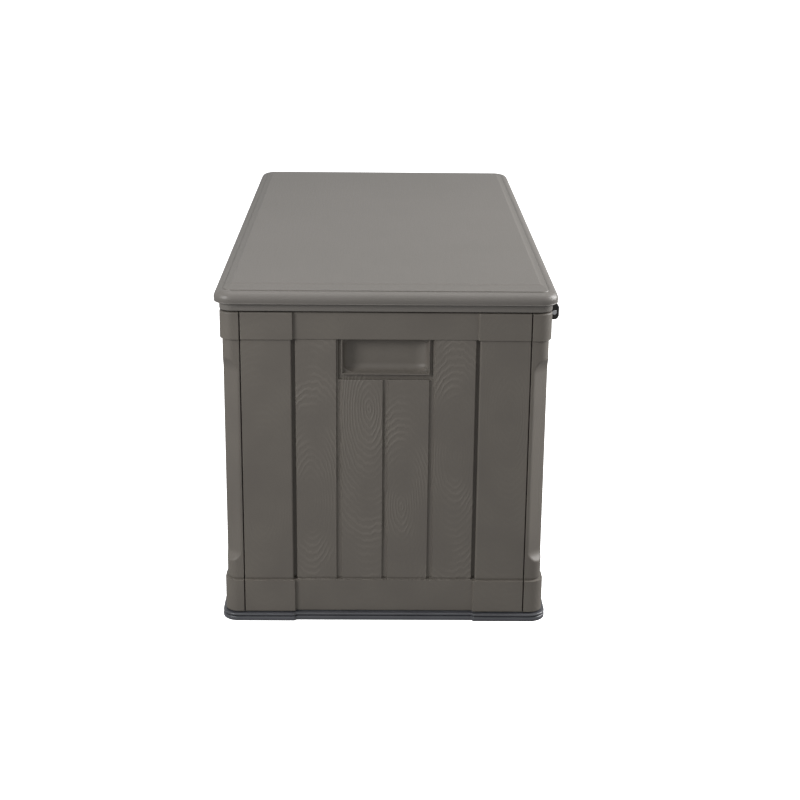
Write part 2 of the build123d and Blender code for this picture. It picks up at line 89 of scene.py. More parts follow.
wall_plastic = bpy.data.materials.new("hdpe_moulded_wood_grain")
wall_plastic.use_nodes = True
tree = wall_plastic.node_tree
skin = tree.nodes["Principled BSDF"]
ring_spacing, fibre_width, fibre_length, pebble = 5.2 * mm, 1.6 * mm, 45 * mm, 0.9 * mm
place = add(tree, "ShaderNodeTexCoord").outputs["Object"]
height = add(tree, "ShaderNodeSeparateXYZ", {"Vector": place}).outputs["Z"]
across = add(tree, "ShaderNodeAttribute", attribute_name="across").outputs["Fac"]
board = add(tree, "ShaderNodeAttribute", attribute_name="board").outputs["Fac"]
grain = add(tree, "ShaderNodeAttribute", attribute_name="grain").outputs["Fac"]
wander = add(tree, "ShaderNodeMath", {0: board, 1: 2.399}, operation="MULTIPLY").outputs[0]
wander = add(tree, "ShaderNodeMath", {0: wander}, operation="SINE").outputs[0]
heart_x = add(
    tree, "ShaderNodeMath", {0: wander, 1: 14 * mm, 2: across}, operation="MULTIPLY_ADD"
).outputs[0]
heart_z = add(
    tree, "ShaderNodeMath", {0: wander, 1: 110 * mm, 2: height}, operation="MULTIPLY_ADD"
).outputs[0]
stretch = 0.36
heart_z = add(
    tree, "ShaderNodeMath", {0: heart_z, 1: stretch, 2: -0.32 * stretch}, operation="MULTIPLY_ADD"
).outputs[0]
heart = add(tree, "ShaderNodeCombineXYZ", {0: heart_x, 1: 0.0, 2: heart_z}).outputs[0]
rings = add(
    tree, "ShaderNodeTexWave",
    {
        "Vector": heart, "Scale": 2 * math.pi / (20 * ring_spacing), "Distortion": 4.6,
        "Detail": 2.0, "Detail Scale": 0.9, "Detail Roughness": 0.6,
    },
    wave_type="RINGS", rings_direction="SPHERICAL",
).outputs["Fac"]
ridges = add(
    tree, "ShaderNodeMapRange", {"Value": rings, "From Min": 0.35, "From Max": 0.95},
    interpolation_type="SMOOTHSTEP",
).outputs["Result"]
along = add(
    tree, "ShaderNodeMath", {0: height, 1: 1 / fibre_length}, operation="MULTIPLY"
).outputs[0]
side_on = add(
    tree, "ShaderNodeMath", {0: across, 1: 1 / fibre_width}, operation="MULTIPLY"
).outputs[0]
fibre_place = add(tree, "ShaderNodeCombineXYZ", {0: side_on, 1: board, 2: along}).outputs[0]
fibres = add(
    tree, "ShaderNodeTexNoise",
    {"Vector": fibre_place, "Scale": 1.0, "Detail": 3.0, "Roughness": 0.6},
).outputs["Fac"]
patches = add(
    tree, "ShaderNodeTexNoise", {"Vector": place, "Scale": 9.0, "Detail": 2.0}
).outputs["Fac"]
clear = add(
    tree, "ShaderNodeMapRange",
    {"Value": patches, "From Min": 0.44, "From Max": 0.58, "To Min": 0.12},
).outputs["Result"]
ridges = add(tree, "ShaderNodeMath", {0: ridges, 1: clear}, operation="MULTIPLY").outputs[0]
wood = add(
    tree, "ShaderNodeMath", {0: fibres, 1: 0.55, 2: ridges}, operation="MULTIPLY_ADD"
).outputs[0]
wood = add(tree, "ShaderNodeMath", {0: wood, 1: grain}, operation="MULTIPLY").outputs[0]
etched = add(
    tree, "ShaderNodeTexNoise", {"Vector": place, "Scale": 1 / pebble, "Detail": 2.0}
).outputs["Fac"]
relief = add(
    tree, "ShaderNodeMath", {0: etched, 1: 0.12, 2: wood}, operation="MULTIPLY_ADD"
).outputs[0]
bump = add(
    tree, "ShaderNodeBump", {"Height": relief, "Strength": 0.7, "Distance": 0.6 * mm}
).outputs["Normal"]
tone = add(
    tree, "ShaderNodeMapRange", {"Value": patches, "From Min": 0.3, "From Max": 0.7}
).outputs["Result"]
body_colour = add(
    tree, "ShaderNodeMix", {0: tone, 6: colour("#5F5A54"), 7: colour("#656059")},
    data_type="RGBA",
).outputs[2]
# Painted highlight and shade: the raised grain ridges are painted lighter and the ring valleys are left
# darker, as the relief would look under light.
painted_ridge_light = add(tree, "ShaderNodeMath", {0: wood, 1: 0.22}, operation="MULTIPLY").outputs[0]
body_colour = add(
    tree, "ShaderNodeMix", {0: painted_ridge_light, 6: body_colour, 7: colour("#77716A")}, data_type="RGBA"
).outputs[2]
gloss = add(
    tree, "ShaderNodeMapRange", {"Value": fibres, "To Min": 0.46, "To Max": 0.60}
).outputs["Result"]
tree.links.new(body_colour, skin.inputs["Base Color"])
tree.links.new(gloss, skin.inputs["Roughness"])
tree.links.new(bump, skin.inputs["Normal"])
skin.inputs["IOR"].default_value = 1.5

# ---- End panels ----
# Each end is one hollow blow-moulded panel: two bands, two stiles, four plank shapes and a hand
# pocket. It slots in between the corner returns and is screwed to them from inside.
wall_low, wall_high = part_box("front_panel")
half_x, half_y = wall_high.x / mm, -wall_low.y / mm
wall_foot, rim_top = wall_low.z / mm, wall_high.z / mm
wall_top = 620.0
low_band_top, top_band_foot = 82.6, 567.2
step_back = 4.4
wall_thick, rim_out = 26.0, 18.0
groove_depth, groove_half = 3.5, 5.6
channel_out, channel_in, channel_deep = 3.4, 3.0, 16.0
end_zone, end_pitch = 172.5, 87.4
pocket_half, pocket_foot, pocket_head, pocket_deep = 81.0, 500.6, 566.9, 22.0
lip_thick, moat_half, moat_foot = 1.8, 89.6, 488.8


def ramp(x, start, width):
    """0 up to start and 1 past start + width, rounded at both ends."""
    t = min(max((x - start) / width, 0.0), 1.0)
    return t * t * (3 - 2 * t)


def round_over(distance, radius):
    """How far an edge of this radius falls back at this distance from its corner."""
    if distance >= radius:
        return 0.0
    return radius - math.sqrt(max(radius**2 - (radius - max(distance, 0.0)) ** 2, 0.0))


def stations(*spans):
    """Sorted positions from spans of (start, end, steps)."""
    spots = sorted({round(a + (b - a) * i / n, 3) for a, b, n in spans for i in range(n + 1)})
    return [x for i, x in enumerate(spots) if i == 0 or x - spots[i - 1] > 0.05]


def belt(z):
    """1 between the two bands and 0 on them: the lower band has a ledge, the upper one a slope."""
    return ramp(z, low_band_top - 0.7, 1.4) * (1 - ramp(z, top_band_foot - 1.0, 1.6))


def foot_dip(z):
    """How far a plank falls back just above the lower band's ledge."""
    return 1.3 * (1 - ramp(z, low_band_top + 0.6, 5.5))


def plank_face(s, z, zone, pitch):
    """Depth of a straight wall's face behind its bands, s from the wall's middle."""
    s = abs(s)
    groove = round(s / pitch) * pitch
    band = step_back * (1 - ramp(s, zone - 0.8, 1.6)) + round_over(s - zone - 0.8, 1.2)
    if s > zone + channel_out:
        middle = step_back + round_over(s - zone - channel_out, 3.2)
    elif s > zone - channel_in:
        middle = channel_deep
    else:
        middle = 2 * step_back + round_over(zone - channel_in - s, 1.8)
        if groove < zone - pitch / 2:
            middle += groove_depth * (1 - ramp(abs(s - groove), groove_half - 1.5, 1.5))
    edges = round_over(z - top_band_foot, 1.2) + round_over(low_band_top - z, 1.2)
    return band + (middle + foot_dip(z) - band) * belt(z) + (edges * (1 - belt(z)))


def end_face(s, z):
    """Depth of an end panel's outside, with its hand pocket."""
    depth = plank_face(s, z, end_zone, end_pitch)
    plank = 2 * step_back
    if z > top_band_foot or z < moat_foot - 4 or abs(s) > moat_half + 1.6:
        return depth
    if z < moat_foot:
        return depth + round_over(moat_foot - z, 1.4) * (depth < plank + 1)
    aside = max(abs(s) - pocket_half, pocket_foot - z)
    if aside > lip_thick:
        trough = plank + 2.0 * groove_depth * ramp(aside, lip_thick, 0.8)
        if abs(s) > moat_half - 1.6:
            trough += (depth - trough) * ramp(abs(s), moat_half - 1.6, 1.6)
        return trough
    if aside > 0:
        return plank + 0.3 - 0.3 * math.sin(math.pi * aside / lip_thick)
    wall_slope, rim_deep = 1.5, 6.0
    inward = min(-aside, pocket_head - z) - wall_slope
    if inward < 0:
        return plank + rim_deep * (inward + wall_slope) / wall_slope
    bowl = ((pocket_half - abs(s), 27.0), (z - pocket_foot, 15.0), (pocket_head - z, 8.0))
    reach = sum(max(1 - (gap - wall_slope) / size, 0.0) ** 2 for gap, size in bowl)
    return plank + rim_deep + (pocket_deep - rim_deep) * math.sqrt(max(1 - reach, 0.0))


def hollow_side(s, z, flute_pitch, bulge):
    """Depth of a wall's inner skin, with shallow upright flutes and room behind a hand pocket."""
    flute_deep, pocket_wall = 5.0, 16.0
    beside = abs((s / flute_pitch) % 1 - 0.5) * flute_pitch
    flute = (1 - ramp(beside, 12.0, 7.0)) * ramp(z, 50.0, 9.0) * (1 - ramp(z, 585.0, 9.0))
    if not bulge:
        return wall_thick - flute_deep * flute
    swell = (1 - ramp(abs(s), 97.0, 8.0)) * ramp(z, 474.0, 8.0) * (1 - ramp(z, 606.0, 8.0))
    behind = pocket_deep + pocket_wall - wall_thick
    return wall_thick - flute_deep * flute * (1 - swell) + behind * swell


def wall_column(outside, inside, z_lines):
    """One upright slice of a wall as a closed loop of (depth, height): face, rim and inner skin."""
    loop = [(outside(z) + round_over(wall_top - z, 3.0) + round_over(z - wall_foot, 2.0), z)
            for z in z_lines]
    loop += [(rim_out - 2, wall_top), (rim_out, wall_top + 1), (rim_out, rim_top - 2.0)]
    loop += [(rim_out + 0.6, rim_top - 0.6), (rim_out + 2.0, rim_top)]
    loop += [(wall_thick - 2.0, rim_top), (wall_thick - 0.6, rim_top - 0.6)]
    loop += [(wall_thick - 0.01, rim_top - 2.0)]
    inner_lines = stations(
        (28, 50, 2), (50, 59, 4), (59, 470, 5), (474, 482, 4), (482, 585, 2), (585, 594, 4),
        (594, 606, 1), (606, 614, 4), (614, wall_top, 1),
    )
    loop += [(inside(z), z) for z in reversed(inner_lines)]
    loop += [(wall_thick - 0.5, wall_foot)]
    return loop


def grid_piece(name, columns, closed, marks=None):
    """Mesh from columns of points, each a closed loop, joined side by side.

    marks gives each column's name for its attributes and the value at each of its points.
    """
    rows = len(columns[0])
    count = len(columns)
    faces = [
        (c * rows + r, (c + 1) % count * rows + r, (c + 1) % count * rows + (r + 1) % rows,
         c * rows + (r + 1) % rows)
        for c in range(count if closed else count - 1)
        for r in range(rows)
    ]
    if not closed:
        faces += [tuple(range(rows)), tuple((count - 1) * rows + r for r in range(rows))]
    mesh = bpy.data.meshes.new(name)
    mesh.from_pydata([p for column in columns for p in column], [], faces)
    for label, values in (marks or {}).items():
        held = mesh.attributes.new(label, "FLOAT", "POINT")
        held.data.foreach_set("value", [v for column in values for v in column])
    made = bpy.data.objects.new(name, mesh)
    bpy.context.scene.collection.objects.link(made)
    return made


def finish_piece(piece, material, body, slot, *nodes, crease=35.0):
    """Outward normals, soft shading, a material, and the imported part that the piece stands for."""
    form = bmesh.new()
    form.from_mesh(piece.data)
    bmesh.ops.recalc_face_normals(form, faces=form.faces)
    form.to_mesh(piece.data)
    form.free()
    piece.data.shade_smooth()
    piece.data.set_sharp_from_angle(angle=math.radians(crease))
    shading = piece.modifiers.new("shading", "WEIGHTED_NORMAL")
    shading.keep_sharp = True
    piece.data.materials.clear()
    piece.data.materials.append(material)
    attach(piece, body)
    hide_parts(*nodes)
    return piece


def grain_at(z, on_plank, in_pocket=False):
    """How deep the moulded grain is: full on a plank, fainter on the frame and in a pocket."""
    if in_pocket and z > pocket_foot - lip_thick:
        return 0.12
    return 0.2 + ((1.0 if on_plank else 0.26) - 0.2) * belt(z)


wall_lines = stations(
    (wall_foot, 19, 5), (19, 80, 3), (low_band_top - 1.4, low_band_top + 0.8, 9),
    (low_band_top + 0.8, low_band_top + 6.8, 8), (low_band_top + 6.8, 112, 3), (112, 150, 16),
    (150, 480, 8), (moat_foot - 2, moat_foot, 8), (moat_foot + 0.05, moat_foot + 1.8, 3),
    (moat_foot + 1.8, pocket_foot - 2.6, 3), (pocket_foot - 2.6, pocket_foot + 0.1, 9),
    (pocket_foot + 0.1, pocket_foot + 1.5, 3), (pocket_foot + 1.5, 517, 13), (517, 531, 8),
    (531, 556, 6), (556, top_band_foot - 1.8, 10), (top_band_foot - 1.8, top_band_foot - 0.2, 4),
    (top_band_foot - 0.2, top_band_foot + 2, 8), (top_band_foot + 2, 615, 3), (616.5, wall_top, 7),
)
lap_reach, seam_gap, lap_thick, lap_foot, lap_head = 11.45, 1.7, 11.7, 47.0, 600.0
seam = -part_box("right_end_panel")[0].y / mm - lap_reach


def channel_lines(zone):
    """Positions across the deep channel beside a stile, close together at its two walls."""
    out, inner = zone + channel_out, zone - channel_in
    return [
        (inner - 2.4, inner, 6), (inner + 0.1, inner + 0.3, 1), (inner, out, 4),
        (zone - 1.0, zone + 1.0, 6), (zone + 1.0, zone + 2.2, 3), (out, out + 0.15, 1),
        (out + 0.15, out + 3.6, 7),
    ]


def groove_lines(middle):
    """Positions across a shallow groove."""
    return [(middle + a * (groove_half - 2.2), middle + a * (groove_half + 0.4), 6) for a in (-1, 1)]


end_lines = stations(
    *[(a * (seam - 2), a * seam, 5) for a in (-1, 1)],
    *[(a * p, a * q, n) for p, q, n in channel_lines(end_zone) for a in (-1, 1)],
    *[span for i in (-1, 0, 1) for span in groove_lines(i * end_pitch)],
    *[(a * p, a * q, n) for a in (-1, 1) for p, q, n in (
        (50, 79.5, 20), (79.5, 81, 3), (81, 83.6, 9), (83.6, 87.8, 3), (87.8, 89.7, 6), (89.7, 93, 6),
    )],
    (-seam, seam, 40),
)
for side_name, facing in (("left", -1), ("right", 1)):
    columns, across_marks, board_marks, grain_marks = [], [], [], []
    for s in end_lines:
        edge = round_over(seam - abs(s), 1.4)
        loop = wall_column(
            lambda z: end_face(s, z) + edge,
            lambda z: hollow_side(s, z, end_pitch, True),
            wall_lines,
        )
        columns.append([Vector((facing * (half_x - d), s, z)) * mm for d, z in loop])
        on_plank = abs(s) < end_zone
        number = math.floor(s / end_pitch) if on_plank else (7 if s > 0 else 11)
        middle = (number + 0.5) * end_pitch if on_plank else s - (abs(s) - 222) * (1 if s > 0 else -1)
        across_marks.append([(s - middle) * mm] * len(loop))
        board_marks.append([float(number + 3 * facing)] * len(loop))
        in_pocket = abs(s) < pocket_half + lip_thick
        grain_marks.append([grain_at(z, on_plank, in_pocket) for d, z in loop])
    marks = {"across": across_marks, "board": board_marks, "grain": grain_marks}
    panel = grid_piece(f"{side_name}_end_wall", columns, False, marks)
    form = bmesh.new()
    form.from_mesh(panel.data)
    for hand in (-1, 1):
        low = Vector((facing * (half_x - wall_thick - lap_thick), hand * (seam - 24), lap_foot))
        high = Vector((facing * (half_x - wall_thick), hand * (seam + lap_reach), lap_head))
        flange = bmesh.ops.create_cube(form, size=1.0)["verts"]
        for v in flange:
            v.co = Vector([(a + b) / 2 + c * (b - a) for a, b, c in zip(low, high, v.co)]) * mm
        rims = list({e for v in flange for e in v.link_edges})
        bmesh.ops.bevel(form, geom=rims, offset=1.2 * mm, segments=2, affect="EDGES")
    form.to_mesh(panel.data)
    form.free()
    finish_piece(panel, wall_plastic, "box", "wall_plastic", f"{side_name}_end_panel")

# ---- Front and back panels ----
# Long blow-moulded panels with twelve plank shapes. Each turns both of its corners, which carry
# a stopped 45 degree cut, and ends at the seams on the end walls.
corner_r = 26.0
side_zone, side_planks = half_x - (half_y - end_zone), 12
side_pitch = 2 * side_zone / side_planks
cut_leg, cut_low, cut_high = 27.5, 143.0, 502.0
cut_end_r_high, cut_end_r_low = 37.0, 25.0
uncut_low, uncut_high, past_corner = 119.0, 532.0, 30.0
cut_reach = (half_x - step_back + half_y - step_back - cut_leg) / math.sqrt(2)


def cut_plane(z):
    """How far out, along the corner's diagonal, the 45 degree face lies at this height."""
    if z > cut_high:
        past = min(z - cut_high, cut_end_r_high - 0.01)
        fall = round_over(cut_end_r_high - past, cut_end_r_high)
        return cut_reach + fall + (z > uncut_high) * past_corner
    if z < cut_low:
        past = min(cut_low - z, cut_end_r_low - 0.01)
        fall = round_over(cut_end_r_low - past, cut_end_r_low)
        return cut_reach + fall + (z < uncut_low) * past_corner
    return cut_reach


def corner_face(x, y, nx, ny, z):
    """Depth at the corner: the band step or the 45 degree cut, whichever is deeper, blended."""
    flat = (step_back + foot_dip(z)) * belt(z)
    cut = ((x + y) / math.sqrt(2) - cut_plane(z)) / ((nx + ny) / math.sqrt(2))
    soft = 2.4
    blend = max(soft - abs(flat - cut), 0.0) / soft
    return max(flat, cut) + blend**2 * soft / 4


def outline():
    """Half the long wall's outline from its middle to the seam: (x, y, normal x, normal y)."""
    straight = half_x - corner_r
    spots = [(x, half_y, 0.0, 1.0) for x in stations(
        *[span for i in range(6) for span in groove_lines(i * side_pitch)],
        *[((i + 0.5) * side_pitch + a * 10, (i + 0.5) * side_pitch + a * 21, 4)
          for i in range(6) for a in (-1, 1)],
        *channel_lines(side_zone), (side_zone + 10, straight - 22, 6), (straight - 22, straight, 14),
    ) if 0 <= x <= straight]
    for i in range(1, 25):
        a = math.radians(90 - 90 * i / 24)
        spots.append((
            straight + corner_r * math.cos(a), half_y - corner_r + corner_r * math.sin(a),
            math.cos(a), math.sin(a),
        ))
    foot = half_y - corner_r
    spots += [
        (half_x, y, 1.0, 0.0)
        for y in reversed(stations((seam + seam_gap, seam + 3, 5), (seam + 3, foot, 6))[:-1])
    ]
    return spots


half_outline = outline()
for side_name, facing in (("front", -1), ("back", 1)):
    columns, across_marks, board_marks, grain_marks = [], [], [], []
    mirrored = [(x, y, nx, ny, -1) for x, y, nx, ny in reversed(half_outline) if x > 0]
    for x, y, nx, ny, hand in mirrored + [(*spot, 1) for spot in half_outline]:
        straight = nx == 0
        edge = round_over(y - seam - seam_gap, 1.4) if ny == 0 else 0.0

        def outside(z):
            if straight and x < half_x - corner_r - 24:
                return plank_face(x, z, side_zone, side_pitch)
            return corner_face(x, y, nx, ny, z) + edge

        def inside(z):
            if not straight or x > side_zone:
                return wall_thick - 0.5
            return hollow_side(x, z, side_pitch, False)

        loop = wall_column(outside, inside, wall_lines)
        columns.append([
            Vector((hand * (x - nx * d), facing * (y - ny * d), z)) * mm for d, z in loop
        ])
        on_plank = x < side_zone and straight
        number = math.floor(x / side_pitch) if on_plank else 8
        middle = (number + 0.5) * side_pitch if on_plank else 600.0
        path = x if straight else half_x + (half_y - y)
        across_marks.append([(path - middle) * hand * mm] * len(loop))
        board_marks.append([float((number + 0.5) * hand + 13.5 * facing)] * len(loop))
        grain_marks.append([grain_at(z, on_plank) for d, z in loop])
    marks = {"across": across_marks, "board": board_marks, "grain": grain_marks}
    panel = grid_piece(f"{side_name}_wall", columns, False, marks)
    finish_piece(panel, wall_plastic, "box", "wall_plastic", f"{side_name}_panel")

# ---- Base ----
# Floor panel of the same polyethylene in black, moulded in one piece. Its flange shows below the
# walls as two rounded beads with a groove between them.
base_plastic = bpy.data.materials.new("hdpe_moulded_black")
base_plastic.use_nodes = True
tree = base_plastic.node_tree
skin = tree.nodes["Principled BSDF"]
place = add(tree, "ShaderNodeTexCoord").outputs["Object"]
etched = add(
    tree, "ShaderNodeTexNoise", {"Vector": place, "Scale": 1 / (1.1 * mm), "Detail": 2.0}
).outputs["Fac"]
scuffs = add(
    tree, "ShaderNodeTexNoise", {"Vector": place, "Scale": 14.0, "Detail": 5.0, "Roughness": 0.6}
).outputs["Fac"]
bump = add(
    tree, "ShaderNodeBump", {"Height": etched, "Strength": 0.35, "Distance": 0.25 * mm}
).outputs["Normal"]
body_colour = add(
    tree, "ShaderNodeMix", {0: scuffs, 6: colour("#434448"), 7: colour("#55565A")},
    data_type="RGBA",
).outputs[2]
gloss = add(
    tree, "ShaderNodeMapRange", {"Value": scuffs, "To Min": 0.24, "To Max": 0.38}
).outputs["Result"]
tree.links.new(body_colour, skin.inputs["Base Color"])
tree.links.new(gloss, skin.inputs["Roughness"])
tree.links.new(bump, skin.inputs["Normal"])

base_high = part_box("base_panel")[1]
flange_x, flange_y = base_high.x / mm, base_high.y / mm
floor_top = base_high.z / mm
flange_r, flange_top, bead_groove = 32.0, 15.0, 9.3


def flange_profile():
    """(depth, height) from the underside round the two beads to the seat below the walls."""
    spots = [(40.0, 0.0), (1.4, 0.0), (0.5, 0.3), (0.1, 1.2), (0.0, 3.0)]
    sag, groove = 2.6, 4.2
    for i in range(7):
        a = math.radians(90 * i / 6)
        spots.append((sag * (1 - math.cos(a)), bead_groove - 4.6 + 4.0 * math.sin(a)))
    spots += [(groove, bead_groove - 0.5), (groove, bead_groove + 0.5)]
    for i in range(9):
        a = math.radians(-90 + 180 * i / 8)
        middle, half = (bead_groove + 0.8 + flange_top) / 2, (flange_top - bead_groove - 0.8) / 2
        spots.append((sag * (1 - math.cos(a)), middle + half * math.sin(a)))
    return spots + [(11.5, flange_top), (12.0, wall_foot), (40.0, wall_foot)]


def flange_outline():
    """The whole outline, set back between the stiles: (x, y, normal x, normal y, set back)."""
    corner = [math.radians(90 * i / 16) for i in range(17)]
    in_x, in_y = flange_x - flange_r, flange_y - flange_r
    quarter = [
        (x, flange_y, 0.0, 1.0, step_back * (1 - ramp(x, side_zone - 2, 5.0)))
        for x in stations((0, side_zone - 3, 8), (side_zone - 3, side_zone + 4, 8), (530, in_x, 3))
    ]
    quarter += [
        (in_x + flange_r * math.sin(a), in_y + flange_r * math.cos(a), math.sin(a), math.cos(a), 0.0)
        for a in corner[1:]
    ]
    quarter += [
        (flange_x, y, 1.0, 0.0, step_back * (1 - ramp(y, end_zone - 2, 5.0)))
        for y in reversed(stations((0, end_zone - 3, 4), (end_zone - 3, end_zone + 4, 8),
                                   (180, in_y, 3)))
    ][1:]
    half = quarter + [(x, -y, nx, -ny, b) for x, y, nx, ny, b in reversed(quarter[:-1])]
    return half + [(-x, y, -nx, ny, b) for x, y, nx, ny, b in reversed(half[1:-1])]


profile = flange_profile()
around = flange_outline()
form = bmesh.new()
loops = []
for d, z in profile:
    loops.append([
        form.verts.new(Vector((x - nx * (d + back), y - ny * (d + back), z)) * mm)
        for x, y, nx, ny, back in around
    ])
for lower, upper in zip(loops, loops[1:]):
    for i in range(len(lower)):
        j = (i + 1) % len(lower)
        form.faces.new((lower[i], lower[j], upper[j], upper[i]))


def tray(form, rim, half, cells, rib, flat, floor, slope):
    """Fills a loop with a flat panel that has a grid of shallow square-cornered hollows.

    flat and floor are the heights of the panel and of the hollows, and slope is the run of
    their sides; half is the half size of the grid and cells its columns and rows.
    """
    lines = []
    for size, count in zip(half, cells):
        pitch = (2 * size - rib) / count
        spots = [-size]
        for i in range(count):
            start = -size + rib + i * pitch
            end = start + pitch - rib
            spots += [start, start + slope, end - slope, end]
        lines.append(spots + [size])

    def hollow(i, count):
        return 0 < i < 4 * count + 1 and (i - 1) % 4 in (1, 2)

    grid = [[
        form.verts.new(Vector((
            x, y, floor if hollow(i, cells[0]) and hollow(j, cells[1]) else flat
        )) * mm)
        for j, y in enumerate(lines[1])] for i, x in enumerate(lines[0])
    ]
    for i in range(len(grid) - 1):
        for j in range(len(grid[0]) - 1):
            form.faces.new((grid[i][j], grid[i + 1][j], grid[i + 1][j + 1], grid[i][j + 1]))
    border = [e for e in form.edges if e.is_boundary and all(v in ring_set(grid) for v in e.verts)]
    outer = [e for e in form.edges if e.is_boundary and all(v in set(rim) for v in e.verts)]
    bmesh.ops.bridge_loops(form, edges=border + outer)


def ring_set(grid):
    """The vertices on a grid's four sides."""
    return set(grid[0]) | set(grid[-1]) | {c[0] for c in grid} | {c[-1] for c in grid}


tray(form, loops[0], (half_x - 50, half_y - 50), (6, 3), 26.0, 0.0, 5.0, 3.0)
floor_in = wall_thick + 0.6
inner_x, inner_y = half_x - floor_in, half_y - floor_in
rise = []
for inset, z in ((0.0, wall_foot), (0.0, floor_top - 2), (0.6, floor_top - 0.6), (2.0, floor_top)):
    rise.append([
        form.verts.new(Vector((sx * (inner_x - inset), sy * (inner_y - inset), z)) * mm)
        for sx, sy in ((1, 1), (1, -1), (-1, -1), (-1, 1))
    ])
for lower, upper in zip(rise, rise[1:]):
    for i in range(4):
        j = (i + 1) % 4
        form.faces.new((lower[i], lower[j], upper[j], upper[i]))
seat_edges = [e for e in form.edges if e.is_boundary and all(v in set(loops[-1]) for v in e.verts)]
rise_edges = [e for e in form.edges if e.is_boundary and all(v in set(rise[0]) for v in e.verts)]
bmesh.ops.bridge_loops(form, edges=seat_edges + rise_edges)
tray(form, rise[-1], (inner_x - 30, inner_y - 30), (8, 4), 18.0, floor_top, floor_top - 3.0, 4.0)
mesh = bpy.data.meshes.new("base_floor")
form.to_mesh(mesh)
form.free()
base = bpy.data.objects.new("base_floor", mesh)
bpy.context.scene.collection.objects.link(base)
finish_piece(base, base_plastic, "box", "base_plastic", "base_panel")

# ---- Lid ----
# One hollow blow-moulded panel with a rounded lip, a flat border, a raised middle and a skirt
# that closes over the rim of the walls. Its top has fine streaks along its length.
lid_plastic = bpy.data.materials.new("hdpe_moulded_streaked")
lid_plastic.use_nodes = True
tree = lid_plastic.node_tree
skin = tree.nodes["Principled BSDF"]
streak_width, streak_length = 1.8 * mm, 130 * mm
place = add(tree, "ShaderNodeTexCoord").outputs["Object"]
drawn = add(
    tree, "ShaderNodeVectorMath",
    {0: place, 1: (1 / streak_length, 1 / streak_width, 1 / streak_width)}, operation="MULTIPLY",
).outputs[0]
streaks = add(
    tree, "ShaderNodeTexNoise", {"Vector": drawn, "Scale": 1.0, "Detail": 4.0, "Roughness": 0.6}
).outputs["Fac"]
patches = add(
    tree, "ShaderNodeTexNoise", {"Vector": place, "Scale": 5.0, "Detail": 3.0}
).outputs["Fac"]
etched = add(
    tree, "ShaderNodeTexNoise", {"Vector": place, "Scale": 1 / pebble, "Detail": 2.0}
).outputs["Fac"]
relief = add(
    tree, "ShaderNodeMath", {0: etched, 1: 0.3, 2: streaks}, operation="MULTIPLY_ADD"
).outputs[0]
bump = add(
    tree, "ShaderNodeBump", {"Height": relief, "Strength": 0.5, "Distance": 0.4 * mm}
).outputs["Normal"]
body_colour = add(
    tree, "ShaderNodeMix", {0: patches, 6: colour("#63605B"), 7: colour("#6A6662")},
    data_type="RGBA",
).outputs[2]
drawn_tone = add(
    tree, "ShaderNodeMapRange",
    {"Value": streaks, "From Min": 0.3, "From Max": 0.75, "To Max": 0.3},
).outputs["Result"]
body_colour = add(
    tree, "ShaderNodeMix", {0: drawn_tone, 6: body_colour, 7: colour("#7E7974")},
    data_type="RGBA",
).outputs[2]
gloss = add(
    tree, "ShaderNodeMapRange", {"Value": streaks, "To Min": 0.34, "To Max": 0.52}
).outputs["Result"]
tree.links.new(body_colour, skin.inputs["Base Color"])
tree.links.new(gloss, skin.inputs["Roughness"])
tree.links.new(bump, skin.inputs["Normal"])
skin.inputs["IOR"].default_value = 1.5

lid_low, lid_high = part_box("lid")
lip_x, lip_y = lid_high.x / mm, lid_high.y / mm
skirt_foot, lid_top = lid_low.z / mm, lid_high.z / mm
lip_r, lip_foot, border_z, under_z = 36.0, 637.3, lid_top - 3.0, 638.0
border_x, border_y = 60.0, 29.0
skirt_in, skirt_thick = lip_x - half_x, 12.0
round_in, round_down, round_drop = 17.0, 14.6, 1.2
panel_edge = [(8.0, 3.0, 0.0), (5.5, 2.2, -0.25), (2.0, 0.8, -0.8), (-2.0, -0.8, -1.5)]
panel_edge += [(-5.0, -2.2, -1.85)]
rows = [(border_x + ax, border_y + ay, 3.0, lid_top + drop) for ax, ay, drop in panel_edge]
flats = [(round_in + 5.0, 0.05), (round_in + 2.4, 0.0), (round_in + 1.7, -0.4)]
flats += [(round_in + 1.2, -1.9), (round_in + 0.5, -2.1), (round_in - 0.2, -1.6)]
rows += [(i, i, lip_r - i, border_z + drop) for i, drop in flats]
for step in range(2, 15):
    a = math.radians(90 * step / 14)
    inset, fall = round_in * (1 - math.sin(a)), round_down * (1 - math.cos(a))
    rows.append((inset, inset, lip_r - inset, border_z - round_drop - fall))
turn = [(0.3, lip_foot + 4.8), (0.9, lip_foot + 3.0), (1.0, lip_foot + 2.1), (0.5, lip_foot + 1.7)]
turn += [(0.2, lip_foot + 1.1), (0.5, lip_foot + 0.5), (1.4, lip_foot), (4.0, lip_foot + 1.2)]
turn += [(skirt_in - 1.0, lip_foot + 1.2), (skirt_in, lip_foot)]
turn += [(skirt_in, skirt_foot + 2.0), (skirt_in + 0.5, skirt_foot + 0.6), (skirt_in + 1.8, skirt_foot)]
turn += [(skirt_in + skirt_thick - 1, skirt_foot), (skirt_in + skirt_thick, skirt_foot + 1)]
turn += [(skirt_in + skirt_thick, under_z - 1.0), (skirt_in + skirt_thick + 1.0, under_z)]
rows += [(i, i, max(lip_r - i, 4.0), z) for i, z in turn]


def rounded_loop(form, hx, hy, r, z, steps=12):
    """A rounded rectangle of vertices, always with the same count."""
    spots = []
    for qx, qy, start in ((1, 1, 0), (-1, 1, 90), (-1, -1, 180), (1, -1, 270)):
        for i in range(steps + 1):
            a = math.radians(start + 90 * i / steps)
            spots.append((qx * (hx - r) + r * math.cos(a), qy * (hy - r) + r * math.sin(a)))
    return [form.verts.new(Vector((x, y, z)) * mm) for x, y in spots]


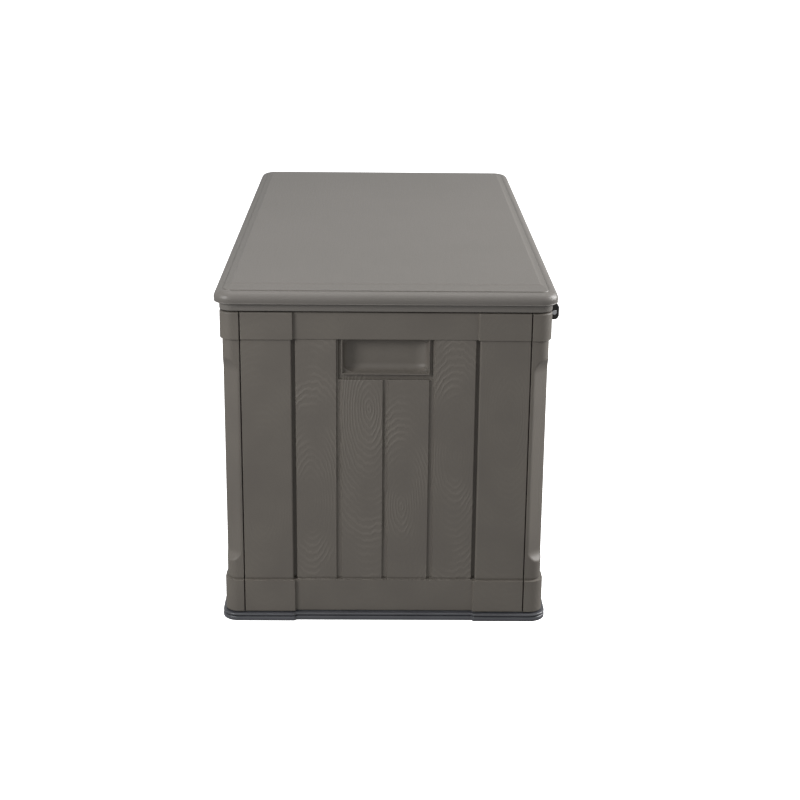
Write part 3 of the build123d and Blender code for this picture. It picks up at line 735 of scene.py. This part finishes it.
form = bmesh.new()
loops = [rounded_loop(form, lip_x - ix, lip_y - iy, r, z) for ix, iy, r, z in rows]
for lower, upper in zip(loops, loops[1:]):
    for i in range(len(lower)):
        j = (i + 1) % len(lower)
        form.faces.new((lower[i], lower[j], upper[j], upper[i]))
form.faces.new(loops[0])
tray(form, loops[-1], (half_x - 66, half_y - 66), (8, 3), 34.0, under_z, under_z + 5.0, 6.0)
mesh = bpy.data.meshes.new("lid_shell")
form.to_mesh(mesh)
form.free()
lid = bpy.data.objects.new("lid_shell", mesh)
bpy.context.scene.collection.objects.link(lid)
finish_piece(lid, lid_plastic, "lid", "lid_plastic", "lid")

# ---- Hinges and padlock eyes ----
# Injection-moulded black nylon filled with glass fibre, which leaves a faint speckle. The
# brackets and eyes are screwed to the walls and to the lid's skirt.
nylon = bpy.data.materials.new("nylon_glass_filled_black")
nylon.use_nodes = True
tree = nylon.node_tree
skin = tree.nodes["Principled BSDF"]
place = add(tree, "ShaderNodeTexCoord").outputs["Object"]
speckle = add(
    tree, "ShaderNodeTexNoise", {"Vector": place, "Scale": 1 / (1.2 * mm), "Detail": 3.0}
).outputs["Fac"]
fleck = add(
    tree, "ShaderNodeMapRange", {"Value": speckle, "From Min": 0.55, "From Max": 0.75}
).outputs["Result"]
body_colour = add(
    tree, "ShaderNodeMix", {0: fleck, 6: colour("#232322"), 7: colour("#4A4A48")},
    data_type="RGBA",
).outputs[2]
bump = add(
    tree, "ShaderNodeBump", {"Height": speckle, "Strength": 0.4, "Distance": 0.2 * mm}
).outputs["Normal"]
gloss = add(
    tree, "ShaderNodeMapRange", {"Value": speckle, "To Min": 0.38, "To Max": 0.62}
).outputs["Result"]
tree.links.new(body_colour, skin.inputs["Base Color"])
tree.links.new(gloss, skin.inputs["Roughness"])
tree.links.new(bump, skin.inputs["Normal"])


def eased_copy(node, name, radius, material, body, slot):
    """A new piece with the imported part's shape and its sharp edges rounded over."""
    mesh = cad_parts[node].data.copy()
    form = bmesh.new()
    form.from_mesh(mesh)
    bmesh.ops.remove_doubles(form, verts=form.verts, dist=0.002 * mm)
    bmesh.ops.dissolve_limit(
        form, angle_limit=math.radians(0.5), verts=form.verts, edges=form.edges
    )
    form.to_mesh(mesh)
    form.free()
    made = bpy.data.objects.new(name, mesh)
    bpy.context.scene.collection.objects.link(made)
    easing = made.modifiers.new("easing", "BEVEL")
    easing.width, easing.segments = radius, 3
    easing.limit_method, easing.angle_limit = "ANGLE", math.radians(40)
    return finish_piece(made, material, body, slot, node)


for side_name in ("left", "right"):
    eased_copy(
        f"hinge_bracket_{side_name}", f"hinge_cheeks_{side_name}", 0.7 * mm, nylon, "box",
        "hardware_plastic",
    )
    eased_copy(
        f"lid_hinge_arm_{side_name}", f"hinge_arm_{side_name}", 0.6 * mm, nylon, "lid",
        "hardware_plastic",
    )
eased_copy("padlock_lug", "front_padlock_eye", 0.6 * mm, nylon, "box", "hardware_plastic")
eased_copy("lid_padlock_eye", "top_padlock_eye", 0.6 * mm, nylon, "lid", "hardware_plastic")

# ---- Hinge pins and clips ----
# Turned steel pins with a bright zinc plating, each held by a sprung steel clip. Fine turning
# marks run round them.
pin_steel = bpy.data.materials.new("steel_zinc_plated_turned")
pin_steel.use_nodes = True
tree = pin_steel.node_tree
skin = tree.nodes["Principled BSDF"]
place = add(tree, "ShaderNodeTexCoord").outputs["Object"]
turning = add(
    tree, "ShaderNodeVectorMath", {0: place, 1: (1 / (0.5 * mm), 60.0, 60.0)},
    operation="MULTIPLY",
).outputs[0]
marks_round = add(
    tree, "ShaderNodeTexNoise", {"Vector": turning, "Scale": 1.0, "Detail": 2.0}
).outputs["Fac"]
bump = add(
    tree, "ShaderNodeBump", {"Height": marks_round, "Strength": 0.2, "Distance": 0.05 * mm}
).outputs["Normal"]
body_colour = add(
    tree, "ShaderNodeMix", {0: marks_round, 6: colour("#B9BBBE"), 7: colour("#D3D4D6")},
    data_type="RGBA",
).outputs[2]
gloss = add(
    tree, "ShaderNodeMapRange", {"Value": marks_round, "To Min": 0.18, "To Max": 0.36}
).outputs["Result"]
tree.links.new(body_colour, skin.inputs["Base Color"])
tree.links.new(gloss, skin.inputs["Roughness"])
tree.links.new(bump, skin.inputs["Normal"])
skin.inputs["Metallic"].default_value = 1.0
for side_name in ("left", "right"):
    eased_copy(
        f"hinge_pin_{side_name}", f"pin_{side_name}", 0.35 * mm, pin_steel, "box", "pin_steel"
    )
    eased_copy(
        f"hinge_pin_clip_{side_name}", f"pin_clip_{side_name}", 0.12 * mm, pin_steel, "box",
        "pin_steel",
    )

# ---- Screws ----
# Cross-recess pan-head steel screws with a black zinc finish, mottled from near black to a dull grey.
screw_steel = bpy.data.materials.new("steel_black_zinc")
screw_steel.use_nodes = True
tree = screw_steel.node_tree
skin = tree.nodes["Principled BSDF"]
place = add(tree, "ShaderNodeTexCoord").outputs["Object"]
mottle = add(
    tree, "ShaderNodeTexNoise", {"Vector": place, "Scale": 1 / (2.5 * mm), "Detail": 4.0}
).outputs["Fac"]
body_colour = add(
    tree, "ShaderNodeMix", {0: mottle, 6: colour("#1E1F21"), 7: colour("#45474A")},
    data_type="RGBA",
).outputs[2]
gloss = add(
    tree, "ShaderNodeMapRange", {"Value": mottle, "To Min": 0.3, "To Max": 0.5}
).outputs["Result"]
tree.links.new(body_colour, skin.inputs["Base Color"])
tree.links.new(gloss, skin.inputs["Roughness"])
skin.inputs["Metallic"].default_value = 0.85
screw_groups = {
    "corner_screws": "box", "base_screws": "box", "padlock_lug_screws": "box",
    "hinge_bracket_screws": "box", "lid_hinge_screws": "lid", "lid_eye_screws": "lid",
}
for node_name, body in screw_groups.items():
    eased_copy(node_name, f"{node_name}_set", 0.25 * mm, screw_steel, body, "screw_steel")

# ---- Rim pads ----
# Soft synthetic rubber pads on the rim of the walls, moulded with a dull surface. The closed
# lid rests on them.
rubber = bpy.data.materials.new("rubber_moulded_matt")
rubber.use_nodes = True
tree = rubber.node_tree
skin = tree.nodes["Principled BSDF"]
place = add(tree, "ShaderNodeTexCoord").outputs["Object"]
bloom = add(
    tree, "ShaderNodeTexNoise", {"Vector": place, "Scale": 1 / (3 * mm), "Detail": 4.0}
).outputs["Fac"]
body_colour = add(
    tree, "ShaderNodeMix", {0: bloom, 6: colour("#1B1B1B"), 7: colour("#2E2E2D")},
    data_type="RGBA",
).outputs[2]
bump = add(
    tree, "ShaderNodeBump", {"Height": bloom, "Strength": 0.3, "Distance": 0.2 * mm}
).outputs["Normal"]
tree.links.new(body_colour, skin.inputs["Base Color"])
tree.links.new(bump, skin.inputs["Normal"])
skin.inputs["Roughness"].default_value = 0.82
eased_copy("lid_bumpers", "rim_pads", 0.9 * mm, rubber, "box", "bumper_rubber")

# ---- Floor and light ----
# A glowing white table that takes no shadow, and soft boxes overhead, at the front left, at the
# back right and, faintly, in front. The table itself is kept from lighting the box.
floor_mesh = bpy.data.meshes.new("floor")
reach = 30.0
floor_mesh.from_pydata(
    [(-reach, -reach, 0), (reach, -reach, 0), (reach, reach, 0), (-reach, reach, 0)], [],
    [(0, 1, 2, 3)],
)
floor = bpy.data.objects.new("floor", floor_mesh)
bpy.context.scene.collection.objects.link(floor)
card = bpy.data.materials.new("light_table_acrylic")
card.use_nodes = True
skin = card.node_tree.nodes["Principled BSDF"]
skin.inputs["Base Color"].default_value = colour("#F6F6F6")
skin.inputs["Emission Color"].default_value = (1, 1, 1, 1)
skin.inputs["Emission Strength"].default_value = 1.2
floor_mesh.materials.append(card)
floor.visible_diffuse, floor.visible_glossy = False, False

world = bpy.data.worlds.new("studio")
world.use_nodes = True
tree = world.node_tree
way = add(tree, "ShaderNodeTexCoord").outputs["Generated"]
way = add(tree, "ShaderNodeSeparateXYZ", {0: way}).outputs
above = add(
    tree, "ShaderNodeMapRange", {"Value": way["Z"], "From Min": -0.25, "From Max": 0.25},
    interpolation_type="SMOOTHSTEP",
).outputs["Result"]
sky_up, sky_down = 0.48, 0.40
glow = add(
    tree, "ShaderNodeMapRange",
    {"Value": above, "To Min": sky_down, "To Max": sky_up},
).outputs["Result"]
tree.links.new(glow, tree.nodes["Background"].inputs["Strength"])
tree.nodes["Background"].inputs["Color"].default_value = (1, 1, 1, 1)
bpy.context.scene.world = world


def soft_box(name, place, aim, size, watts):
    """A square area light at a place, pointed at a point."""
    light = bpy.data.lights.new(name, "AREA")
    light.size, light.energy = size, watts
    lamp = bpy.data.objects.new(name, light)
    lamp.location = place
    lamp.rotation_euler = (Vector(aim) - Vector(place)).to_track_quat("-Z", "Y").to_euler()
    bpy.context.scene.collection.objects.link(lamp)


soft_box("overhead", (0.2, 0.0, 2.8), (0.2, 0, 0), 2.4, 24.0)
soft_box("front_left", (2.0, -1.9, 1.5), (0.66, 0, 0.4), 0.9, 38.0)
soft_box("back_right", (0.0, 2.4, 1.45), (0.0, 0, 0.4), 1.4, 90.0)
soft_box("front", (1.8, 0.0, 2.1), (0.66, 0, 0.4), 0.8, 1.5)
bpy.context.scene.view_settings.view_transform = "Standard"
